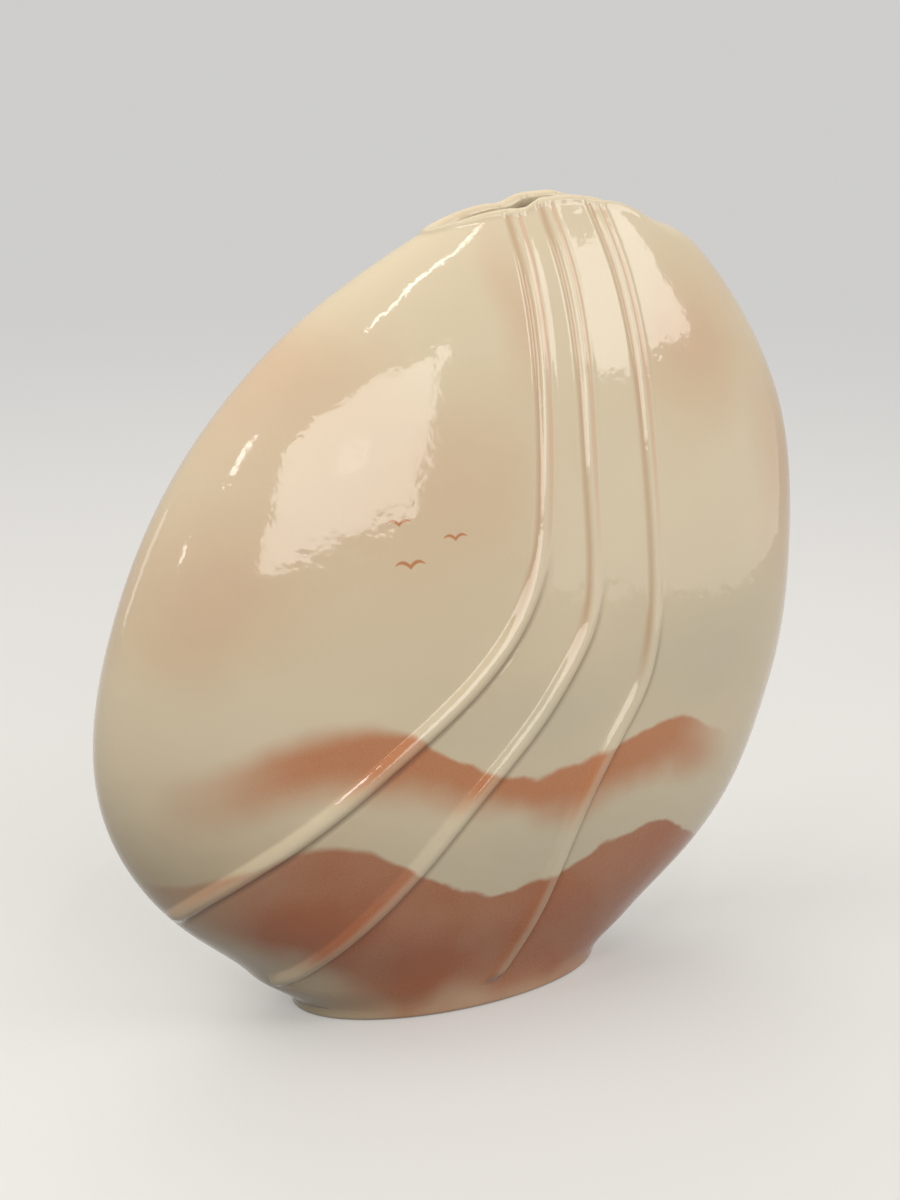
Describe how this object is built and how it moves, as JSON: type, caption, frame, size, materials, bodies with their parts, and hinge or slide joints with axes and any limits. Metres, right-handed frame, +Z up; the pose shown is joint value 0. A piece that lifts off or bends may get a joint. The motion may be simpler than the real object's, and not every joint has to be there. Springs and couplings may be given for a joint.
{
  "type": "pillow vase",
  "caption": "Flattened pillow-shaped ceramic vase with an off-centre wavy slit mouth, an oval foot and soft folds fanning down each face; holds a few flower stems upright.",
  "frame": {"origin": "on the table under the middle of the vase's width and depth", "axes": "+Z up from the foot to the mouth, +X to the right as seen from the front, +Y from the front face to the rear face"},
  "size_m": [0.217, 0.0832, 0.225],
  "materials": {
    "glaze": "glossy ivory glaze with peach and coral airbrush",
    "bare_foot": "wiped satin foot"
  },
  "bodies": {
    "root": {"front_shell": "glaze", "rear_shell": "glaze", "floor_plate": "glaze", "foot_ring": "bare_foot", "front_fold_left": "glaze", "front_fold_middle": "glaze", "front_fold_right": "glaze", "rear_fold_left": "glaze", "rear_fold_middle": "glaze", "rear_fold_right": "glaze"}
  },
  "joints": []
}
